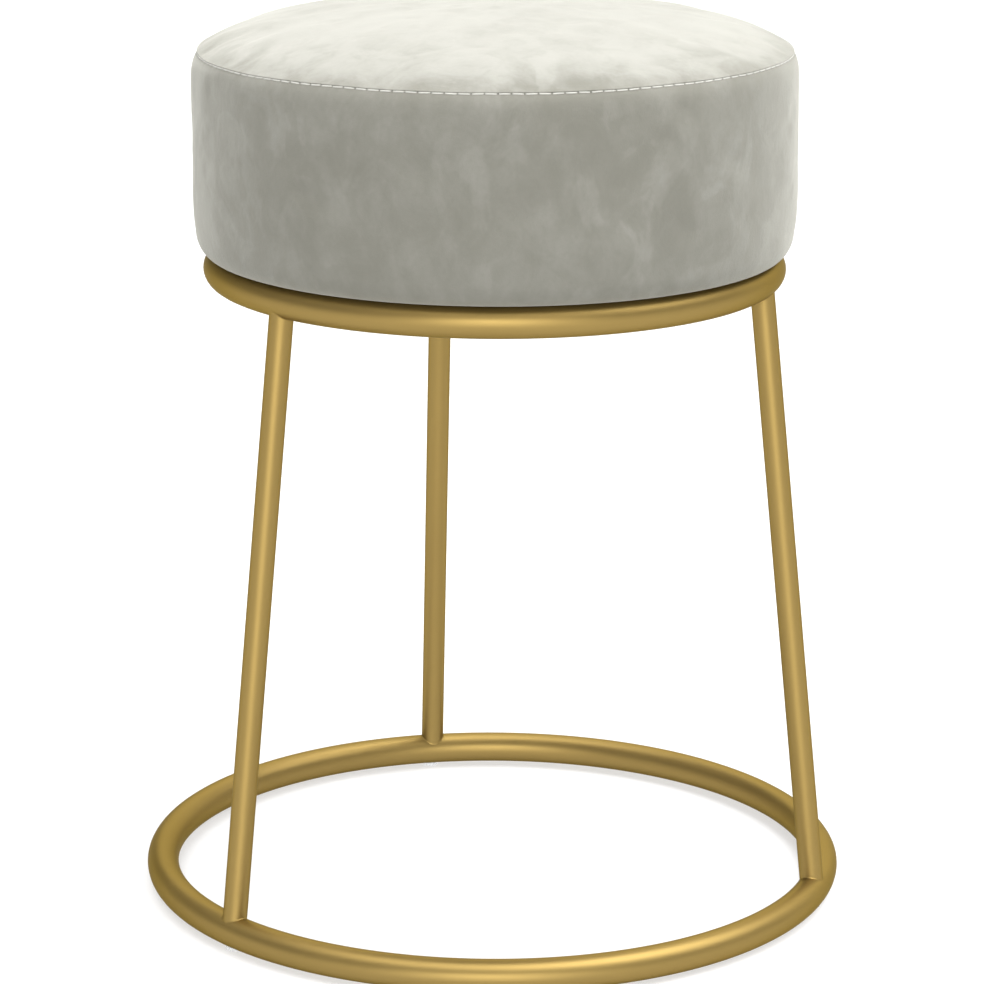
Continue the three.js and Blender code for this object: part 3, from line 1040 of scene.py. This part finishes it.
def make_staples(finish):
    """Wire staples that hold the dust cover, each left a little out of line."""
    draws = random.Random(23)
    count, sides = 24, 8
    half, wire = 5 * MM, 0.5 * MM
    height = DUST_BOTTOM - 0.12 * MM
    fixings = [math.radians(angle) for angle in FIXING_ANGLES.values()]
    path = [(-half, 3.2), (-half, 0.5), (-half + 0.15 * MM, 0.12), (-half + 0.5 * MM, 0)]
    path += [(-along, rise) for along, rise in reversed(path)]
    points, faces = [], []
    for index in range(count):
        angle = (index + 0.5 + draws.uniform(-0.18, 0.18)) / count * math.tau
        distance = (122.5 + draws.uniform(-1, 1)) * MM
        if any(abs((angle - a + math.pi) % math.tau - math.pi) < 0.14 for a in fixings):
            continue
        lean = draws.uniform(-0.25, 0.25)
        staple = []
        for step, (along, rise) in enumerate(path):
            sideways = 0.0 if 1 < step < len(path) - 2 else math.copysign(1, along)
            for turn in even_angles(sides):
                across, other = math.cos(turn) * wire * 0.6, math.sin(turn) * wire * 0.45
                lift = other * (1 - abs(sideways))
                staple.append((across, along + other * sideways, height + rise * MM + lift))
        faces += rod_faces(len(path), sides, sum(map(len, points)))
        points.append(turned(turned(staple, lean) + np.array((distance, 0, 0)), angle))
    add_piece("dust_cover_staples", np.concatenate(points), faces, finish)


# Studio


def add_sun(name, azimuth, elevation, spread, strength):
    """A soft sun. The azimuth is an angle in the floor, from +X towards +Y."""
    data = bpy.data.lights.new(name, "SUN")
    data.energy = strength
    data.angle = math.radians(spread)
    lamp = linked(bpy.data.objects.new(name, data))
    turn, rise = math.radians(azimuth), math.radians(elevation)
    towards = Vector((*polar(math.cos(rise), turn), math.sin(rise)))
    lamp.rotation_mode = "QUATERNION"
    lamp.rotation_quaternion = (-towards).to_track_quat("-Z", "Y")
    lamp.location = towards * 3


def studio_finish(look):
    """White to the camera, to metal and to glass, and pale grey to the light that bounces."""
    finish = Finish("studio_paper")
    seen = finish.node("ShaderNodeLightPath", out="Is Camera Ray")
    glossy = Wire(finish, seen.socket.node.outputs["Is Glossy Ray"])
    through = Wire(finish, seen.socket.node.outputs["Is Transmission Ray"])
    seen = seen.at_least(glossy).at_least(through)
    paper = finish.node("ShaderNodeBsdfDiffuse", None, {"Color": (1, 1, 1, 1)})
    glow = finish.node("ShaderNodeEmission", None, {"Color": (1, 1, 1, 1), "Strength": 1.0})
    shown = finish.node("ShaderNodeMixShader", None, {0: look.floor_glow, 1: paper, 2: glow})
    bounce = (look.floor_bounce,) * 3
    bounced = finish.node("ShaderNodeBsdfDiffuse", None, {"Color": opaque(bounce)})
    finish.close(finish.node("ShaderNodeMixShader", None, {0: seen, 1: bounced, 2: shown}))
    return finish.material


def make_camera():
    level_right = Vector((math.cos(CAMERA_TURN), math.sin(CAMERA_TURN), 0))
    level_ahead = Vector((-math.sin(CAMERA_TURN), math.cos(CAMERA_TURN), 0))
    up_axis = Vector((0, 0, 1))
    ahead = level_ahead * math.cos(CAMERA_PITCH) - up_axis * math.sin(CAMERA_PITCH)
    up = level_ahead * math.sin(CAMERA_PITCH) + up_axis * math.cos(CAMERA_PITCH)
    right = level_right * math.cos(CAMERA_ROLL) + up * math.sin(CAMERA_ROLL)
    up = up * math.cos(CAMERA_ROLL) - level_right * math.sin(CAMERA_ROLL)
    data = bpy.data.cameras.new("photo_view")
    data.lens = LENS_MM
    data.sensor_width = SENSOR_MM
    data.clip_start, data.clip_end = 0.05, 100
    camera = linked(bpy.data.objects.new("photo_view", data))
    axes = Matrix((right, up, -ahead)).transposed().to_4x4()
    camera.matrix_world = Matrix.Translation(CAMERA_PLACE) @ axes
    bpy.context.scene.camera = camera


def make_studio(look):
    """A pale floor that bends up into a round wall, the lamps and the even light of the air."""
    finish = studio_finish(look)
    columns, wall, rise = 128, 8, 2
    angles = even_angles(columns)
    floor = [(radius, 0.0) for radius in (0.6, 1.5, 3, 5, wall)]
    floor_points = np.concatenate([around(floor, angles).reshape(-1, 3), [(0, 0, 0)]])
    bends = [math.radians(bend) for bend in range(0, 91, 6)]
    bend = [(wall + rise * math.sin(turn), rise - rise * math.cos(turn)) for turn in bends]
    shapes = {
        "studio_floor": (floor_points, capped_faces(len(floor), columns, len(floor_points) - 1)),
        "studio_wall": (around(bend, angles), grid_faces(len(bend), columns)),
    }
    for name, (points, faces) in shapes.items():
        stage = new_form(name, points, faces, finish)
        stage.visible_shadow = name != "studio_wall"
    world = bpy.data.worlds.new("studio_air")
    world.use_nodes = True
    backdrop = world.node_tree.nodes["Background"]
    backdrop.inputs["Color"].default_value = opaque(look.air_color)
    backdrop.inputs["Strength"].default_value = 1.0
    bpy.context.scene.world = world
    bpy.context.scene.view_settings.view_transform = "Standard"
    toward_camera = math.degrees(math.atan2(CAMERA_PLACE[1], CAMERA_PLACE[0]))
    for lamp in LAMPS:
        parts = ("turn", "elevation", "spread", "strength")
        turn, *others = (getattr(look, f"{lamp}_{part}") for part in parts)
        add_sun(f"{lamp}_light", toward_camera + turn, *others)


# Settings


def length(name, description, value):
    return FloatProperty(name=name, description=description, default=value, unit="LENGTH")


def share(name, description, value):
    return FloatProperty(name=name, description=description, default=value, subtype="FACTOR")


def color(name, description, value):
    return FloatVectorProperty(name=name, description=description, default=value, subtype="COLOR")


def amount(name, description, value):
    return FloatProperty(name=name, description=description, default=value)


class StoolFrameSettings(PropertyGroup):
    leg_radius: length(
        "Leg tube radius", "Outer radius of the tube that the legs are cut from", 6 * MM
    )
    weld_fillet: length(
        "Weld fillet", "Size of the small smooth weld where a leg meets a ring", 0.6 * MM
    )
    gold_color: color("Gold", "Colour of the satin gold coat", (0.305, 0.212, 0.069))
    gold_edge_color: color(
        "Gold at grazing angles",
        "Tint of the coat where it is seen nearly edge on",
        (0.35, 0.33, 0.25),
    )
    gold_metallic: share(
        "Gold metallic share", "Share of the coat that reflects as metal, the rest as paint", 0.9
    )
    gold_roughness: share("Gold roughness", "How far the coat blurs reflections", 0.46)


class StoolSeatSettings(PropertyGroup):
    # Besides the random patches, the mix of these two colours carries painted light: the top panel leans
    # to the raised colour as painted top light, the side band to the brushed colour as painted side
    # shade.
    velvet_light: color(
        "Velvet, raised pile", "Colour of the velvet where its pile stands up", (0.37, 0.365, 0.33)
    )
    velvet_dark: color(
        "Velvet, brushed pile", "Colour of the velvet where its pile lies away", (0.2, 0.196, 0.165)
    )
    panel_contrast: amount(
        "Contrast of the top panel",
        "How strongly brushed and raised pile differ on the top panel",
        0.6,
    )
    # Painted shade: how far the top panel's colour is darkened towards the sewn edge.
    painted_edge_shade: share(
        "Edge of the top panel",
        "How far the pile lies down where the top panel is pulled over the edge",
        0.28,
    )
    band_contrast: amount(
        "Contrast of the side band",
        "How strongly brushed and raised pile differ on the side band",
        0.38,
    )
    # Painted light: the top panel's high nap paints it lighter as painted top light, and the side band's
    # low nap paints it darker as painted side shade; only partly the real lie of the pile.
    panel_nap_and_top_light: share(
        "Nap of the top panel", "Share of the pile that stands up on the top panel", 0.8
    )
    band_nap_and_side_shade: share(
        "Nap of the side band",
        "Share of the pile that stands up on the side band, where it is brushed down",
        0.25,
    )
    velvet_sheen: share("Velvet sheen", "Soft shine of the pile seen from the side", 0.5)
    velvet_sheen_tint: color(
        "Velvet sheen tint", "Colour of the soft shine of the pile", (1.0, 0.99, 0.91)
    )
    velvet_sheen_spread: share(
        "Velvet sheen spread", "How far the pile spreads its soft shine", 0.5
    )
    unevenness: share("Unevenness", "Share of the slow waves in the padded surface", 1.0)
    fill_pressure: amount(
        "Fill pressure", "Pressure that the foam puts on the cover in the cloth simulation", 8.0
    )
    fill_share: share(
        "Fill share", "Share of the even swelling that is kept over the fitted profile", 0.15
    )
    fill_cap: length(
        "Fill limit", "The farthest that the filled cover may stand off its profile", 0.6 * MM
    )
    stitch_count: IntProperty(
        name="Stitches",
        description="Number of stitches round the sewn edge",
        default=149,
    )
    thread_radius: length("Thread radius", "Radius of the white sewing thread", 0.36 * MM)
    pucker_depth: length(
        "Pucker depth", "How far the cloth is drawn in at each needle hole", 0.2 * MM
    )


class StoolStudioSettings(PropertyGroup):
    floor_glow: share(
        "Floor glow", "Share of the floor's white that doesn't depend on the lamps", 0.6
    )
    floor_bounce: share("Floor bounce", "How much light the floor sends back up", 0.4)
    air_color: color("Air", "Even light from all round", (0.28, 0.28, 0.28))


# Turn to the right of the camera, elevation and spread in degrees, then strength
LAMPS = {
    "front": (0, 9, 34, 2.25),
    "left": (-90, 60, 50, 0.25),
    "right": (90, 60, 50, 2.35),
    "rim": (140, 12, 40, 0.6),
    "back": (180, 35, 50, 0.9),
    "top": (0, 86, 60, 2.35),
}


def lamp_settings(lamp, turn, elevation, spread, strength):
    """The settings of one lamp, by property name."""
    title, words = f"{lamp.capitalize()} light", f"the {lamp} light"
    place = f"How far round to the right of the camera {words} stands, in degrees"
    height = f"Height of {words} over the horizon, in degrees"
    return {
        f"{lamp}_turn": amount(f"{title} turn", place, turn),
        f"{lamp}_elevation": amount(f"{title} elevation", height, elevation),
        f"{lamp}_spread": amount(f"{title} spread", f"Width of {words}, in degrees", spread),
        f"{lamp}_strength": amount(f"{title} strength", f"Strength of {words}", strength),
    }


for lamp, values in LAMPS.items():
    StoolStudioSettings.__annotations__.update(lamp_settings(lamp, *values))


# Operators

SHARED = {}


def shared(maker, *values):
    """What the maker makes, made at its first use and kept for the other operators."""
    if maker not in SHARED:
        SHARED[maker] = maker(*values)
    return SHARED[maker]


def gold(context):
    return shared(gold_finish, context.scene.stool_frame)


def relief_of(context):
    return shared(CoverRelief, context.scene.stool_seat)


class STOOL_OT_studio(Operator):
    """Makes the floor, the soft lights, the air and the camera"""

    bl_idname = "stool.studio"
    bl_label = "Studio and Camera"

    def execute(self, context):
        make_camera()
        make_studio(context.scene.stool_studio)
        return {"FINISHED"}


class STOOL_OT_rings(Operator):
    """Makes the floor ring and the ring under the seat"""

    bl_idname = "stool.rings"
    bl_label = "Rings"

    def execute(self, context):
        finish = gold(context)
        make_ring("floor_ring_tube", "base_ring", FLOOR_RING, FLOOR_RING_HEIGHT, finish)
        make_ring("seat_ring_tube", "top_ring", SEAT_RING, SEAT_RING_HEIGHT, finish)
        return {"FINISHED"}


class STOOL_OT_legs(Operator):
    """Makes the three raked legs, welded to both rings"""

    bl_idname = "stool.legs"
    bl_label = "Legs"

    def execute(self, context):
        for place in LEG_ANGLES:
            make_leg(place, gold(context), context.scene.stool_frame)
        return {"FINISHED"}


class STOOL_OT_floor_pads(Operator):
    """Gives the thin pads under the floor ring their clear finish"""

    bl_idname = "stool.floor_pads"
    bl_label = "Floor Pads"

    def execute(self, context):
        finish = pad_finish()
        for place in LEG_ANGLES:
            set_finish(f"foot_pad_{place}", finish)
        return {"FINISHED"}


class STOOL_OT_seat_fixings(Operator):
    """Makes the bolts and washers, and finishes the welded tabs and the tee nuts"""

    bl_idname = "stool.seat_fixings"
    bl_label = "Seat Fixings"

    def execute(self, context):
        zinc = shared(zinc_finish)
        for place in FIXING_ANGLES:
            make_bolt(place, zinc)
            make_washer(place, zinc)
            set_finish(f"tee_nut_{place}", zinc)
            set_finish(f"mount_tab_{place}", gold(context))
            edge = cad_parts[f"mount_tab_{place}"].modifiers.new("soft_edges", "BEVEL")
            edge.width = 0.35 * MM
            edge.segments = 2
            edge.limit_method = "ANGLE"
            edge.angle_limit = math.radians(40)
        return {"FINISHED"}


class STOOL_OT_seat_board(Operator):
    """Gives the seat board its plywood layers and grain"""

    bl_idname = "stool.seat_board"
    bl_label = "Seat Board"

    def execute(self, context):
        set_finish("seat_board", plywood_finish())
        return {"FINISHED"}


class STOOL_OT_dust_cover(Operator):
    """Makes the black dust cover and its staples"""

    bl_idname = "stool.dust_cover"
    bl_label = "Dust Cover"

    def execute(self, context):
        make_dust_cover(dust_cloth_finish())
        make_staples(shared(zinc_finish))
        return {"FINISHED"}


class STOOL_OT_foam(Operator):
    """Makes the foam pad inside the cover"""

    bl_idname = "stool.foam"
    bl_label = "Foam Pad"

    def execute(self, context):
        make_foam(relief_of(context), foam_finish())
        return {"FINISHED"}


class STOOL_OT_cover(Operator):
    """Makes the velvet cover's side band and crowned top panel"""

    bl_idname = "stool.cover"
    bl_label = "Velvet Cover"

    def execute(self, context):
        look = context.scene.stool_seat
        relief = relief_of(context)
        # Two copies of one velvet: the band's copy is painted darker as painted side shade, the panel's
        # copy lighter as painted top light and darker towards its edge as painted shade.
        band = velvet_finish(look, "velvet_band", look.band_nap_and_side_shade, look.band_contrast, 0)
        make_side_band(relief, band, look)
        panel = velvet_finish(
            look, "velvet_panel", look.panel_nap_and_top_light, look.panel_contrast, look.painted_edge_shade
        )
        make_top_panel(relief, panel, look)
        return {"FINISHED"}


class STOOL_OT_edge_stitches(Operator):
    """Makes the row of stitches along the sewn edge"""

    bl_idname = "stool.edge_stitches"
    bl_label = "Edge Stitches"

    def execute(self, context):
        make_edge_stitches(relief_of(context), thread_finish(), context.scene.stool_seat)
        return {"FINISHED"}


class STOOL_PT_parts(Panel):
    """Lists the stool's pieces and their settings"""

    bl_label = "Vanity Stool"
    bl_idname = "STOOL_PT_parts"
    bl_space_type = "VIEW_3D"
    bl_region_type = "UI"
    bl_category = "Stool"

    def draw(self, context):
        for operator in OPERATORS:
            self.layout.operator(operator.bl_idname)
        for group in ("stool_frame", "stool_seat", "stool_studio"):
            settings = getattr(context.scene, group)
            box = self.layout.box()
            for name in settings.__annotations__:
                box.prop(settings, name)


OPERATORS = (
    STOOL_OT_studio,
    STOOL_OT_rings,
    STOOL_OT_legs,
    STOOL_OT_floor_pads,
    STOOL_OT_seat_fixings,
    STOOL_OT_seat_board,
    STOOL_OT_dust_cover,
    STOOL_OT_foam,
    STOOL_OT_cover,
    STOOL_OT_edge_stitches,
)
SETTINGS = {
    "stool_frame": StoolFrameSettings,
    "stool_seat": StoolSeatSettings,
    "stool_studio": StoolStudioSettings,
}


def register():
    for kind in (*SETTINGS.values(), *OPERATORS, STOOL_PT_parts):
        bpy.utils.register_class(kind)
    for name, kind in SETTINGS.items():
        setattr(bpy.types.Scene, name, PointerProperty(type=kind))


def unregister():
    for name in SETTINGS:
        delattr(bpy.types.Scene, name)
    for kind in (STOOL_PT_parts, *reversed(OPERATORS), *SETTINGS.values()):
        bpy.utils.unregister_class(kind)


def main():
    register()
    for operator in OPERATORS:
        group, name = operator.bl_idname.split(".")
        getattr(getattr(bpy.ops, group), name)()


if __name__ == "__main__":
    main()
